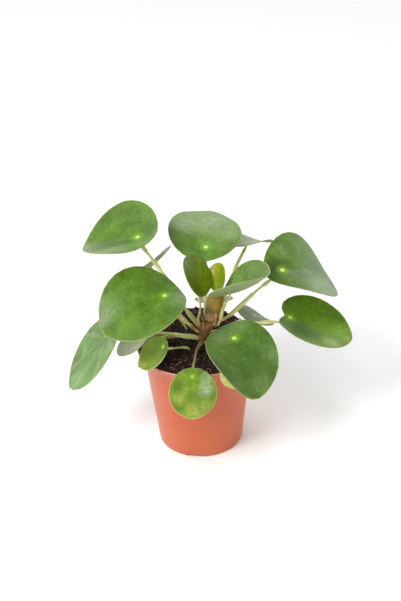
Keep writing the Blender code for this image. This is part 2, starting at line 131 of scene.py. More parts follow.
def copyOfNode(node, pieceName):  # the node's own shape, welded and back in four-sided faces
    piece = bpy.data.objects.new(pieceName, nodes[node].data.copy())
    bpy.context.scene.collection.objects.link(piece)
    piece.data.materials.clear()
    openForEdit(piece)
    bpy.ops.mesh.select_all(action="SELECT")
    bpy.ops.mesh.remove_doubles(threshold=weld["reach"] * mm)
    faceAngle, shapeAngle = math.radians(weld["quadAngle"]), math.radians(weld["quadShape"])
    bpy.ops.mesh.tris_convert_to_quads(face_threshold=faceAngle, shape_threshold=shapeAngle)
    bpy.ops.mesh.normals_make_consistent(inside=False)
    closeEdit()
    return piece


def joinAll(pieces, name):
    bpy.ops.object.select_all(action="DESELECT")
    for piece in pieces:
        piece.select_set(True)
    bpy.context.view_layer.objects.active = pieces[0]
    bpy.ops.object.join()
    pieces[0].name = name
    return pieces[0]


def finish(piece, material, replaced=()):
    activate(piece)
    bpy.ops.object.transform_apply(location=True, rotation=True, scale=True)
    bpy.ops.object.shade_smooth_by_angle(angle=math.radians(weld["sharp"]))
    piece.data.materials.clear()
    piece.data.materials.append(material)
    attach(piece, "root")
    if replaced:
        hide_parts(*replaced)


# building materials from nodes

def linear(red, green, blue):  # an 8-bit colour as the eye reads it, turned into light
    def channel(value):
        share = value / 255
        return share / 12.92 if share < 0.04045 else ((share + 0.055) / 1.055) ** 2.4
    return channel(red), channel(green), channel(blue), 1


def startMaterial(name, roughness, **sockets):
    material = bpy.data.materials.new(name)
    material.use_nodes = True
    tree = material.node_tree
    shader = tree.nodes["Principled BSDF"]
    shader.inputs["Roughness"].default_value = roughness
    for socket, value in sockets.items():
        shader.inputs[socket.replace("_", " ")].default_value = value
    return material, tree, shader


def addNode(tree, kind, inputs=None, **settings):
    made = tree.nodes.new("ShaderNode" + kind)
    for key, value in settings.items():
        setattr(made, key, value)
    for key, value in (inputs or {}).items():
        if isinstance(value, bpy.types.NodeSocket):
            tree.links.new(value, made.inputs[key])
        else:
            made.inputs[key].default_value = value
    return made


def compute(tree, operation, first, second=0.0, third=0.0):
    return addNode(tree, "Math", {0: first, 1: second, 2: third}, operation=operation).outputs[0]


def between(tree, value, low, high, toLow=0.0, toHigh=1.0, smooth=True):
    kind = "SMOOTHSTEP" if smooth else "LINEAR"
    keys = {"Value": value, "From Min": low, "From Max": high, "To Min": toLow, "To Max": toHigh}
    return addNode(tree, "MapRange", keys, interpolation_type=kind).outputs["Result"]


def blendColour(tree, share, first, second, mode="MIX"):
    made = addNode(tree, "Mix", data_type="RGBA", blend_type=mode)
    for socket, value in ((made.inputs[0], share), (made.inputs[6], first), (made.inputs[7], second)):
        if isinstance(value, bpy.types.NodeSocket):
            tree.links.new(value, socket)
        else:
            socket.default_value = value
    return made.outputs[2]


def noiseOf(tree, vector, scale, detail=3.0, roughness=0.55):
    keys = {"Vector": vector, "Scale": scale, "Detail": detail, "Roughness": roughness}
    return addNode(tree, "TexNoise", keys).outputs["Fac"]


def objectSpace(tree):
    return addNode(tree, "TexCoord").outputs["Object"]


def bumpTo(tree, shader, height, distance, strength=1.0):
    made = addNode(tree, "Bump", {"Height": height, "Distance": distance, "Strength": strength})
    tree.links.new(made.outputs["Normal"], shader.inputs["Normal"])


# camera, lights and floor

view = {
    "target": (4.3, 0, 155.8),  # mm
    "distance": 1123,
    "elevation": 30,
    "roll": -2.2,
    "lens": 70,
    "sensor": 36,
    "clipEnd": 20,  # m
}


def makeCamera():
    camera = bpy.data.objects.new("camera", bpy.data.cameras.new("camera"))
    bpy.context.scene.collection.objects.link(camera)
    camera.data.lens = view["lens"]
    camera.data.sensor_width = view["sensor"]
    camera.data.clip_end = view["clipEnd"]
    up = math.radians(view["elevation"])
    back = Vector((0, -math.cos(up), math.sin(up)))
    camera.location = (Vector(view["target"]) + back * view["distance"]) * mm
    level = Matrix((Vector((1, 0, 0)), back.cross(Vector((1, 0, 0))), back)).transposed()
    camera.rotation_euler = (level @ Matrix.Rotation(math.radians(view["roll"]), 3, "Z")).to_euler()
    bpy.context.scene.camera = camera


studio = {
    "keyPlace": (-1.4, -1.35, 2.0),
    "keySize": 0.95,
    "keyPower": 47,
    "fillPlace": (-0.7, -2.0, 2.4),
    "fillSize": 3.0,
    "fillPower": 31,
    "aim": (0, 0, 0.12),
    "wallLight": 1.84,  # the white wall behind and to the left
    "wallSide": (-0.45, 0.89, 0),
    "wallEdge": (-0.1, 0.5),  # where it sets in, as the cosine of the angle to wallSide
    "wallTop": (0.55, 0.85),  # where it fades, as the sine of the height
    "roomLight": 0.42,  # the rest of the room
    "rightLight": 0.9,  # a pale wall low on the right
    "rightEdge": (0.45, 0.9),
    "rightTop": (0.3, 0.5),
    "floorSize": 14,  # m
    "floorDrop": 0.0002,  # below the foot of the pot
    "floorColour": (0.958, 0.966, 0.972, 1),
}


def makeLight(name, place, size, power):
    light = bpy.data.objects.new(name, bpy.data.lights.new(name, "AREA"))
    bpy.context.scene.collection.objects.link(light)
    light.data.size = size
    light.data.energy = power
    light.location = place
    aim = Vector(studio["aim"]) - Vector(place)
    light.rotation_euler = aim.to_track_quat("-Z", "Y").to_euler()
    return light


def makeStudio():
    makeLight("keyLight", studio["keyPlace"], studio["keySize"], studio["keyPower"])
    fill = makeLight("fillLight", studio["fillPlace"], studio["fillSize"], studio["fillPower"])
    fill.visible_glossy = False  # a bounce card, without a mirror image in the leaves
    world = bpy.data.worlds.new("studio")
    world.use_nodes = True
    tree = world.node_tree
    background = tree.nodes["Background"]
    background.inputs["Color"].default_value = (1, 1, 1, 1)
    look = addNode(tree, "TexCoord").outputs["Generated"]
    side = addNode(tree, "VectorMath", {0: look, 1: studio["wallSide"]}, operation="DOT_PRODUCT")
    behind = between(tree, side.outputs["Value"], *studio["wallEdge"])
    parts = addNode(tree, "SeparateXYZ", {0: look})
    height = parts.outputs["Z"]
    wall = compute(tree, "MULTIPLY", behind, between(tree, height, *studio["wallTop"], 1, 0))
    bright = between(tree, wall, 0, 1, studio["roomLight"], studio["wallLight"], smooth=False)
    right = between(tree, parts.outputs["X"], *studio["rightEdge"], 0, studio["rightLight"])
    right = compute(tree, "MULTIPLY", right, between(tree, height, *studio["rightTop"], 1, 0))
    tree.links.new(compute(tree, "ADD", bright, right), background.inputs["Strength"])
    bpy.context.scene.world = world
    bpy.context.scene.view_settings.view_transform = "Standard"
    bpy.ops.mesh.primitive_plane_add(size=studio["floorSize"], location=(0, 0, -studio["floorDrop"]))
    floor = bpy.context.object
    floor.name = "floor"
    material, _, shader = startMaterial("palePaper", 0.8)
    shader.inputs["Base Color"].default_value = studio["floorColour"]
    floor.data.materials.append(material)


makeCamera()
makeStudio()
print("camera and studio set")


# pot: a thin thermoformed nursery pot

potDesign = {
    "sides": 128,
    "wall": 1.4,
    "neckRadius": 53.0,
    "neckHeight": 95.0,
    "baseRadius": 42.0,
    "floorTop": 5.0,
    "padRadius": 20.0,
    "channel": 3.2,
    "footInside": 37.5,
    "footRound": 1.2,
    "drainHoles": 6,
    "drainRadius": 4.0,
    "drainSides": 32,
    "drainCircle": 28.5,
    "slots": 4,
    "slotWidth": 20.0,
    "slotDepth": 9.0,
    "slotHeight": 2.6,
    "slotTurn": 7.0,  # degrees
    "cutDepth": 20.0,
    "edgeRound": 0.35,
    "sharpEdge": 35,  # degrees
    "rimWaver": (30, 0.5),  # size and depth in mm
    "plastic": (linear(184, 82, 40), linear(192, 92, 50)),
    "grain": linear(232, 142, 112),
    # painted highlight: the top of the rim painted paler, where its lip catches the light
    "brim": linear(232, 158, 134),
    "brimHighlightBand": 3.5,  # mm below the top, over which the painted highlight on the rim fades in
    "dust": linear(112, 66, 50),
    "scuff": linear(238, 186, 164),
    "dustBand": (19, 1.5),  # mm below the top, where dust and scuffs set in and where they are thickest
}


def terracottaPlastic():
    design = potDesign
    material, tree, shader = startMaterial("terracottaPlastic", 0.4, Coat_Weight=0.12, Coat_Roughness=0.3)
    place = objectSpace(tree)
    cloud = noiseOf(tree, place, 14, 2)
    colour = blendColour(tree, between(tree, cloud, 0.35, 0.7), *design["plastic"])
    grain = noiseOf(tree, place, 900, 2)
    colour = blendColour(tree, between(tree, grain, 0.58, 0.75, 0, 0.25), colour, design["grain"])
    height = addNode(tree, "SeparateXYZ", {0: place}).outputs["Z"]
    # painted highlight: the pot turns paler towards the top of its rim
    brim = between(tree, height, potTop - design["brimHighlightBand"] * mm, potTop)
    colour = blendColour(tree, compute(tree, "MULTIPLY", brim, 0.55), colour, design["brim"])
    dusty = noiseOf(tree, place, 260, 4, 0.7)
    low, high = (potTop - depth * mm for depth in design["dustBand"])
    upward = between(tree, height, low, high, 0.0, 0.8)
    dust = compute(tree, "MULTIPLY", between(tree, dusty, 0.56, 0.64), upward)
    colour = blendColour(tree, dust, colour, design["dust"])
    scuff = compute(tree, "MULTIPLY", between(tree, dusty, 0.44, 0.36), upward)
    colour = blendColour(tree, scuff, colour, design["scuff"])
    drawn = addNode(tree, "Mapping", {"Vector": place, "Scale": (1, 1, 0.04)}).outputs[0]
    streak = noiseOf(tree, drawn, 160, 2)
    tree.links.new(colour, shader.inputs["Base Color"])
    rough = compute(tree, "MULTIPLY_ADD", streak, 0.16, 0.33)
    tree.links.new(rough, shader.inputs["Roughness"])
    relief = compute(tree, "MULTIPLY_ADD", grain, 0.35, streak)
    bumpTo(tree, shader, relief, 0.12 * mm, 0.7)
    return material


def makePot():
    design = potDesign
    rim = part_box("pot")[1][0] / mm
    top = potTop / mm
    neck, neckUp, base, wall = (design[key] for key in ("neckRadius", "neckHeight", "baseRadius", "wall"))
    pad, foot, drain = design["padRadius"], design["footRound"], design["drainRadius"]

    def slant(height):  # the outside radius of the tapered wall
        return base + (neck - base) * (height - foot) / (neckUp - foot)

    profile = [
        (pad + 0.8, design["channel"]), (design["footInside"] - 0.6, design["channel"]),
        (design["footInside"], 0), (base - 1, 0), (base, foot), (slant(3.4), 3.4), (slant(12), 12),
        (slant(neckUp - 4), neckUp - 4), (neck, neckUp), (neck + 1.1, neckUp + 4.5),
        (neck + 3.2, neckUp + 9), (rim - 1.0, top - 1.8), (rim, top - 1.0),
        (rim - 0.2, top - 0.2), (rim - 0.9, top), (rim - 1.7, top - 0.6), (neck + 1.9, neckUp + 9),
        (neck - 0.3, neckUp + 4.5), (neck - wall, neckUp), (base - wall + 0.6, design["floorTop"]),
    ]
    bpy.ops.mesh.primitive_circle_add(vertices=design["sides"], radius=pad * mm, fill_type="NGON")
    pot = bpy.context.object
    openForEdit(pot, "EDGE")
    bpy.ops.mesh.select_all(action="SELECT")
    bpy.ops.mesh.region_to_loop()
    lastRadius, lastHeight = pad, 0
    for radius, height in profile:
        bpy.ops.mesh.extrude_edges_move(TRANSFORM_OT_translate={"value": (0, 0, (height - lastHeight) * mm)})
        grow = radius / lastRadius
        bpy.ops.transform.resize(value=(grow, grow, 1), center_override=(0, 0, height * mm))
        lastRadius, lastHeight = radius, height
    bpy.ops.mesh.edge_face_add()
    bpy.ops.mesh.select_all(action="SELECT")
    bpy.ops.mesh.normals_make_consistent(inside=False)
    closeEdit()
    cutters = []
    for k in range(design["drainHoles"]):
        turn = 2 * math.pi * (k + 0.5) / design["drainHoles"]
        spot = Vector((math.cos(turn), math.sin(turn), 0)) * design["drainCircle"] * mm
        bpy.ops.mesh.primitive_cylinder_add(
            vertices=design["drainSides"], radius=drain * mm, depth=design["cutDepth"] * mm, location=spot)
        cutters.append(bpy.context.object)
    for k in range(design["slots"]):
        turn = math.radians(-90 - design["slotTurn"]) + 2 * math.pi * k / design["slots"]
        spot = Vector((math.cos(turn), math.sin(turn), 0)) * (design["footInside"] + base) / 2 * mm
        bpy.ops.mesh.primitive_cube_add(size=mm, location=spot, rotation=(0, 0, turn))
        bpy.context.object.scale = (design["slotDepth"], design["slotWidth"], 2 * design["slotHeight"])
        cutters.append(bpy.context.object)
    cutter = joinAll(cutters, "potCutters")
    modifier = pot.modifiers.new("holes", "BOOLEAN")
    modifier.operation = "DIFFERENCE"
    modifier.object = cutter
    applyLast(pot)
    bpy.data.objects.remove(cutter)
    modifier = pot.modifiers.new("rounding", "BEVEL")
    modifier.width = design["edgeRound"] * mm
    modifier.segments = 2
    modifier.limit_method = "ANGLE"
    modifier.angle_limit = math.radians(design["sharpEdge"])
    applyLast(pot)
    brim = pot.vertex_groups.new(name="brim")
    for vert in pot.data.vertices:
        share = (vert.co.z / mm - neckUp) / (top - neckUp)
        if share > 0:
            brim.add([vert.index], share**2, "REPLACE")
    waverSize, waverDepth = design["rimWaver"]
    ripple(pot, waverSize * mm, -waverDepth * mm, "Z", "brim", middle=0.0)
    pot.name = "nurseryPot"
    finish(pot, terracottaPlastic(), ["pot"])


makePot()
print("pot made")


# soil: a lumpy mound with crumbs and fibres lying on it

soilDesign = {
    "voxel": 1.25,
    "radius": 60.0,
    "moundDepth": 2.0,  # mm below the pot's top down to which the lumps reach
    "calmEdge": 0.03,  # share of the radius that stays calm at the pot's wall
    "rampUp": 12,  # the lumps are full 1/12 of the radius in from the wall
    "lumps": ((9.0, 2.2), (3.6, 1.8), (1.7, 1.2)),  # size and height in mm
    "crumbs": 900,
    "crumbSize": (0.5, 1.6),
    "crumbKinds": 4,
    "crumbJitter": 0.35,
    "crumbShape": (1, 0.8, 0.6),
    # the specks are pale crumbs that stand in as painted highlights, small glints of light on the soil
    "specks": 700,
    "speckSize": (0.3, 0.75),
    "fibres": 130,
    "fibreSize": (2.5, 7.0),
    "fibreKinds": 3,
    "fibreRadius": 0.06,
    "fibreCuts": (-0.3, 0, 0.3),
    "tilt": 0.5,  # radians
    "spin": 6.3,  # radians, all the way round
    "reach": 57.5,
    "castFrom": 160,  # mm, the height that the places are looked for from
    "lowest": 100,
    "seed": 11,
    "groundTones": (linear(20, 12, 14), linear(56, 36, 34)),  # dark and light
    "crumbTones": (linear(24, 15, 17), linear(74, 50, 46)),
    # painted highlights: the pale colours of the glint crumbs
    "paintedGlintTones": (linear(96, 66, 60), linear(176, 134, 120)),
    "fibreTones": (linear(92, 58, 44), linear(168, 124, 104)),
    "dust": linear(146, 104, 92),
    # painted shade: near black in the gaps between the crumbs
    "paintedGapShade": linear(10, 6, 10),
}


def pottingSoil(name, tones):
    material, tree, shader = startMaterial(name, 0.9, Specular_IOR_Level=0.25)
    place = objectSpace(tree)
    coarse = noiseOf(tree, place, 160, 4, 0.65)
    colour = blendColour(tree, between(tree, coarse, 0.42, 0.62), *tones)
    fine = noiseOf(tree, place, 700, 3, 0.7)
    colour = blendColour(tree, between(tree, fine, 0.58, 0.72, 0, 0.8), colour, soilDesign["dust"])
    # painted shade darkens the gaps where the fine noise is low
    colour = blendColour(tree, between(tree, fine, 0.3, 0.46, 0.9, 0), colour, soilDesign["paintedGapShade"])
    tree.links.new(colour, shader.inputs["Base Color"])
    bumpTo(tree, shader, compute(tree, "ADD", coarse, fine), 0.8 * mm)
    return material


def fibreBark():
    material, tree, shader = startMaterial("fibreBark", 0.8)
    place = objectSpace(tree)
    tone = noiseOf(tree, place, 90, 2)
    colour = blendColour(tree, between(tree, tone, 0.4, 0.6), *soilDesign["fibreTones"])
    tree.links.new(colour, shader.inputs["Base Color"])
    bumpTo(tree, shader, noiseOf(tree, place, 900, 2), 0.2 * mm)
    return material


def makeSoil():
    design = soilDesign
    soil = copyOfNode("soil", "soilMound")
    modifier = soil.modifiers.new("even", "REMESH")
    modifier.mode = "VOXEL"
    modifier.voxel_size = design["voxel"] * mm
    applyLast(soil)
    surface = soil.vertex_groups.new(name="surface")
    for vert in soil.data.vertices:
        inside = 1 - Vector(vert.co[:2]).length / (design["radius"] * mm)
        if vert.co.z > potTop - design["moundDepth"] * mm and inside > design["calmEdge"]:
            surface.add([vert.index], min(1, inside * design["rampUp"]), "REPLACE")
    for size, height in design["lumps"]:
        ripple(soil, size * mm, height * mm, "Z", "surface")
    finish(soil, pottingSoil("pottingSoil", soilDesign["groundTones"]), ["soil"])
    return soil


def onSoil(ground, radius, turn):
    start = Vector((radius * math.cos(turn), radius * math.sin(turn), soilDesign["castFrom"])) * mm
    place, normal, _, _ = ground.ray_cast(start, Vector((0, 0, -1)))
    return place, normal


def scatter(models, kind, ground, name, material, lift):  # lift is a share of each copy's size
    count, sizes = soilDesign[kind + "s"], soilDesign[kind + "Size"]
    dice = random.Random(soilDesign["seed"] + count)
    tilt, spin = soilDesign["tilt"], soilDesign["spin"]
    copies = []
    while len(copies) < count:
        radius = soilDesign["reach"] * math.sqrt(dice.random())
        place, normal = onSoil(ground, radius, dice.uniform(0, 2 * math.pi))
        if place is None or place.z < soilDesign["lowest"] * mm:
            continue
        model = dice.choice(models)
        copy = bpy.data.objects.new(name, model.data.copy())
        bpy.context.scene.collection.objects.link(copy)
        size = dice.uniform(*sizes)
        copy.scale = (size * mm,) * 3
        turns = dice.uniform(-tilt, tilt), dice.uniform(-tilt, tilt), dice.uniform(0, spin)
        copy.rotation_euler = Euler(turns)
        copy.location = place + normal * size * lift * mm
        copies.append(copy)
    joined = joinAll(copies, name)
    for model in models:
        bpy.data.objects.remove(model)
    finish(joined, material)


def crumbModels():
    models = []
    for k in range(soilDesign["crumbKinds"]):
        bpy.ops.mesh.primitive_ico_sphere_add(subdivisions=1 if k else 2, radius=1)
        model = bpy.context.object
        openForEdit(model)
        bpy.ops.mesh.select_all(action="SELECT")
        bpy.ops.transform.vertex_random(offset=soilDesign["crumbJitter"], seed=k)
        bpy.ops.transform.resize(value=soilDesign["crumbShape"])
        closeEdit()
        models.append(model)
    return models


def fibreModels():
    models = []
    radius = soilDesign["fibreRadius"]
    for k in range(soilDesign["fibreKinds"]):
        bpy.ops.mesh.primitive_cylinder_add(vertices=5, radius=radius, depth=1, rotation=(0, math.pi / 2, 0))
        model = bpy.context.object
        openForEdit(model)
        bpy.ops.mesh.select_all(action="SELECT")
        for cut in soilDesign["fibreCuts"]:
            bpy.ops.mesh.bisect(plane_co=(cut, 0, 0), plane_no=(1, 0, 0))
            bpy.ops.mesh.select_all(action="SELECT")
        closeEdit()
        bpy.ops.object.transform_apply(location=False, rotation=True, scale=False)
        for vert in model.data.vertices:
            vert.co.y += (0.18 + 0.06 * k) * (vert.co.x**2 - 0.1)
            vert.co.z += 0.05 * math.sin(5 * vert.co.x + k)
        models.append(model)
    return models


soil = makeSoil()
ground = BVHTree.FromObject(soil, bpy.context.evaluated_depsgraph_get())
darkCrumb = pottingSoil("soilCrumb", soilDesign["crumbTones"])
# pale crumbs that paint in the soil's small highlights
paintedGlintCrumb = pottingSoil("paintedGlintCrumb", soilDesign["paintedGlintTones"])
scatter(crumbModels(), "crumb", ground, "soilCrumbs", darkCrumb, lift=0.25)
scatter(crumbModels(), "speck", ground, "paintedGlintSpecks", paintedGlintCrumb, lift=0.3)
scatter(fibreModels(), "fibre", ground, "soilFibres", fibreBark(), lift=0.06)
print("soil made")


# stem, its papery scales, and the sheath round the growing tip

stemDesign = {
    "knobs": (1.6, 0.5),  # size and height in mm
    "scales": 34,
    "scaleLength": (8.0, 14.0),
    "scaleWidth": (2.6, 5.2),
    "scaleHeights": (-16, 2),  # mm from the sheath's foot
    "scaleLean": (-0.1, 0.25),  # radians
    "scaleSlant": (-0.3, 0.3),
    "scaleSink": 0.2,
    "front": -100,  # degrees
    "spread": 100,
    "castFrom": 40,
    "seed": 5,
    "barkTones": (linear(96, 58, 26), linear(166, 124, 70)),  # dark and light
    "scaleTones": (linear(130, 84, 44), linear(212, 172, 118)),
    "stain": linear(70, 38, 28),
}

sheathDesign = {
    "rimBand": 7.0,  # mm below the top that count as its rim
    "footBand": 10.0,  # mm above its foot that never do
    "lean": 0.8,  # mm that the rim goes to the right
    "raise": 4.0,  # mm that the thin rim runs on above the modelled one
    "tearBand": (4.0, 6.0),  # mm below the top where the tears start, and over which they deepen
    "tear": (2.2, 2.4),  # size and depth in mm of the ragged rim
    "pleats": (3.0, 0.5),
    "olive": (linear(84, 70, 8), linear(122, 102, 16)),
    "golden": linear(170, 144, 18),  # up and to the right
    "ruddy": linear(150, 84, 34),  # at the far tip
    "fresh": linear(168, 142, 80),  # at the foot
    "fold": linear(112, 68, 26),  # along the pleats
}


def bark(name, tones):
    material, tree, shader = startMaterial(name, 0.65)
    place = objectSpace(tree)
    drawn = addNode(tree, "Mapping", {"Vector": place, "Scale": (1, 1, 0.16)}).outputs[0]
    fibre = noiseOf(tree, drawn, 900, 3, 0.6)
    patch = noiseOf(tree, place, 260, 3)
    colour = blendColour(tree, between(tree, fibre, 0.35, 0.68), *tones)
    colour = blendColour(tree, between(tree, patch, 0.55, 0.72, 0, 0.7), colour, stemDesign["stain"])
    tree.links.new(colour, shader.inputs["Base Color"])
    bumpTo(tree, shader, fibre, 0.35 * mm)
    return material


def amberMembrane():
    design = sheathDesign
    sockets = {"Subsurface_Weight": 0.35, "Subsurface_Scale": 0.003}
    material, tree, shader = startMaterial("amberMembrane", 0.42, **sockets)
    place = objectSpace(tree)
    drawn = addNode(tree, "Mapping", {"Vector": place, "Scale": (1, 1, 0.12)}).outputs[0]
    fibre = noiseOf(tree, drawn, 700, 3, 0.6)
    patch = noiseOf(tree, place, 120, 2)
    colour = blendColour(tree, between(tree, patch, 0.38, 0.62), *design["olive"])
    parts = addNode(tree, "SeparateXYZ", {0: place})
    rise = between(tree, parts.outputs["Z"], crown.z, sheathHigh.z, smooth=False)
    aside = between(tree, parts.outputs["X"], sheathLow.x, sheathHigh.x, smooth=False)
    slope = compute(tree, "ADD", rise, aside)
    colour = blendColour(tree, between(tree, slope, 0.8, 1.3, 0, 0.45), colour, design["golden"])
    colour = blendColour(tree, between(tree, slope, 1.45, 1.9, 0, 0.4), colour, design["ruddy"])
    raised = compute(tree, "ADD", rise, compute(tree, "MULTIPLY", patch, 0.4))
    colour = blendColour(tree, between(tree, raised, 0.3, 0.65, 0.8, 0), colour, design["fresh"])
    colour = blendColour(tree, between(tree, fibre, 0.5, 0.72, 0, 0.6), colour, design["fold"])
    tree.links.new(colour, shader.inputs["Base Color"])
    bumpTo(tree, shader, fibre, 0.25 * mm)
    return material


def scaleModel():  # a pointed papery scale, one unit high and one wide, its back to +Y
    bpy.ops.mesh.primitive_grid_add(x_subdivisions=6, y_subdivisions=8, size=1, rotation=(math.pi / 2, 0, 0))
    model = bpy.context.object
    bpy.ops.object.transform_apply(location=False, rotation=True, scale=False)
    for vert in model.data.vertices:
        share = vert.co.z + 0.5
        width = math.sin(math.pi * min(1, 0.25 + 0.75 * share) ** 0.8) ** 0.7 if share < 0.99 else 0.05
        vert.co.x *= max(0.05, width)
        vert.co.z = share
        vert.co.y = 1.1 * vert.co.x**2 - 0.22 * share**2 + 0.03 * math.sin(14 * vert.co.x)
    modifier = model.modifiers.new("wall", "SOLIDIFY")
    modifier.thickness = 0.05
    modifier.offset = 0
    applyLast(model)
    subdivide(model, 1)
    return model


def makeStem():
    design = stemDesign
    stem = copyOfNode("stem", "woodyStem")
    subdivide(stem, 2)
    knobSize, knobHeight = design["knobs"]
    ripple(stem, knobSize * mm, knobHeight * mm)
    finish(stem, bark("stemBark", stemDesign["barkTones"]), ["stem"])
    trunk = BVHTree.FromObject(stem, bpy.context.evaluated_depsgraph_get())
    model = scaleModel()
    dice = random.Random(design["seed"])
    scales = []
    low, high = design["scaleHeights"]
    for k in range(design["scales"]):
        share = k / (design["scales"] - 1)
        height = crown.z / mm + low + (high - low) * share
        turn = math.radians(design["front"] + design["spread"] * math.sin(2.4 * k + 0.5))
        out = Vector((math.cos(turn), math.sin(turn), 0))
        start = Vector((crown.x, crown.y, height * mm)) + out * design["castFrom"] * mm
        hit, _, _, _ = trunk.ray_cast(start, -out)
        if hit is None:
            continue
        copy = bpy.data.objects.new("scale", model.data.copy())
        bpy.context.scene.collection.objects.link(copy)
        wide, long = dice.uniform(*design["scaleWidth"]), dice.uniform(*design["scaleLength"])
        copy.scale = (wide * mm, wide * mm, long * mm)
        lean, slant = dice.uniform(*design["scaleLean"]), dice.uniform(*design["scaleSlant"])
        copy.rotation_euler = Euler((lean, slant, turn + math.pi / 2))
        copy.location = hit - out * design["scaleSink"] * mm
        scales.append(copy)
    bpy.data.objects.remove(model)
    scales = joinAll(scales, "stemScales")
    finish(scales, bark("dryScale", stemDesign["scaleTones"]))


def makeSheath():
    design = sheathDesign
    sheath = copyOfNode("sheath", "tipSheath")
    edge = max(sheathHigh.z - design["rimBand"] * mm, sheathLow.z + design["footBand"] * mm)
    openForEdit(sheath)
    pickVerts(sheath, lambda vert: vert.co.z > edge)
    bpy.ops.transform.translate(value=(design["lean"] * mm, 0, design["raise"] * mm))
    closeEdit()
    subdivide(sheath, 3)
    rim = sheath.vertex_groups.new(name="rim")
    tearStart, tearOver = design["tearBand"]
    for vert in sheath.data.vertices:
        share = (vert.co.z - sheathHigh.z + tearStart * mm) / (tearOver * mm)
        if share > 0:
            rim.add([vert.index], min(1, share), "REPLACE")
    tearSize, tearDepth = design["tear"]
    ripple(sheath, tearSize * mm, tearDepth * mm, "Z", "rim")
    pleatSize, pleatDepth = design["pleats"]
    ripple(sheath, pleatSize * mm, pleatDepth * mm)
    finish(sheath, amberMembrane(), ["sheath"])


makeStem()
makeSheath()
print("stem and sheath made")


# stalks

stalkDesign = {
    "levels": 2,
    "plump": 0.1,  # mm put back after smoothing
    "reachIn": 0.9,  # mm that each end runs on, into the stem or the blade
    "flat": 1,  # degrees, faces that differ less are one end face
    "tipPoints": 8,  # that count as the upper end
    # each skin, its blush near the stem and its pale streaks
    "green": (linear(204, 210, 126), linear(176, 154, 92), linear(214, 216, 150)),
    "olive": (linear(178, 176, 98), linear(150, 118, 72), linear(214, 216, 150)),
    "brown": (linear(138, 122, 82), linear(108, 80, 58), linear(156, 146, 100)),
    "fleck": linear(140, 104, 66),
}


def stalkSkin(name, tones):
    green, blush, pale = tones
    material, tree, shader = startMaterial(name, 0.38, Subsurface_Weight=0.12, Subsurface_Scale=0.002)
    place = objectSpace(tree)
    away = addNode(tree, "VectorMath", {0: place, 1: tuple(crown)}, operation="DISTANCE").outputs["Value"]
    tone = noiseOf(tree, place, 55, 2)
    colour = blendColour(tree, between(tree, tone, 0.4, 0.7), green, pale)
    near = between(tree, away, 0.01, 0.04, 0.75, 0.0)
    patchy = compute(tree, "MULTIPLY", near, between(tree, noiseOf(tree, place, 140, 3), 0.3, 0.6, 0.35, 1))
    colour = blendColour(tree, patchy, colour, blush)
    fleck = noiseOf(tree, place, 1100, 2)
    colour = blendColour(tree, between(tree, fleck, 0.64, 0.75, 0, 0.35), colour, stalkDesign["fleck"])
    tree.links.new(colour, shader.inputs["Base Color"])
    bumpTo(tree, shader, fleck, 0.08 * mm)
    return material


def makeStalk(leaf, material):
    stalk = copyOfNode("stalk_" + leaf, "leafStalk_" + leaf)
    openForEdit(stalk, "FACE")
    bpy.ops.mesh.select_all(action="SELECT")
    bpy.ops.mesh.dissolve_limited(angle_limit=math.radians(stalkDesign["flat"]))
    bpy.ops.mesh.select_all(action="DESELECT")
    pickFaces(stalk, lambda face: len(face.verts) > 4)
    reach = stalkDesign["reachIn"] * mm
    bpy.ops.mesh.extrude_faces_move(TRANSFORM_OT_shrink_fatten={"value": reach})
    closeEdit()
    subdivide(stalk, stalkDesign["levels"])
    openForEdit(stalk)
    bpy.ops.mesh.select_all(action="SELECT")
    bpy.ops.transform.shrink_fatten(value=stalkDesign["plump"] * mm)
    closeEdit()
    finish(stalk, material, ["stalk_" + leaf])


stalkGreen = stalkSkin("stalkGreen", stalkDesign["green"])
stalkOlive = stalkSkin("stalkOlive", stalkDesign["olive"])
stalkBrown = stalkSkin("stalkBrown", stalkDesign["brown"])
darkStalks = {"large_left": stalkOlive, "front": stalkBrown}
for leaf in leafNames:
    makeStalk(leaf, darkStalks.get(leaf, stalkGreen))
print("stalks made")


# leaf blades

leafDesign = {
    "levels": 3,
    "rimCrease": 0.45,
    "rimSpan": 1.4,  # mm, edges through the thin rim are shorter than this
    "rimUpright": 0.5,  # and at least this far upright, as a cosine
    "facing": 0.3,  # cosine from which a face belongs to the upper side
    "wave": (16, 0.9),  # size and height of the slow undulation in mm
    "fullWave": 80,  # mm, leaves shorter than this wave less
    "dimple": 0.45,  # mm, where the stalk meets the upper side
    "dimpleBelow": 0.6,  # share of it on the under side
    "dimpleReach": 5.0,
    "planWidth": 100,  # mm of leaf in one unit of the leafPlan map
    "patchScale": 46,  # of the noises, from coarse to fine
    "speckPatchScale": 150,
    "mottleScale": 240,
    "speckScale": 420,
    "blisterScale": 620,
    "fanTurns": 9.0,  # broad veins round the stalk
    "rayScale": 11,  # finer ones
    "rayStretch": 2.2,
    "glowGreen": linear(118, 166, 36),  # round the spot over the stalk
    "rust": linear(96, 86, 40),  # on the margin
    "speckGrey": linear(190, 204, 172),
    "fleckShade": (0.62, 0.66, 0.6, 1),  # what the darker flecks multiply the colour by
}

paintedGlare = linear(160, 178, 138)  # painted glare: a greyish sheen painted into the leaf colour where the leaves catch the light
# a paler painted glare, for the glossy patches on the front leaf
palePaintedGlare = linear(182, 196, 164)
strawYellow = linear(196, 186, 96)

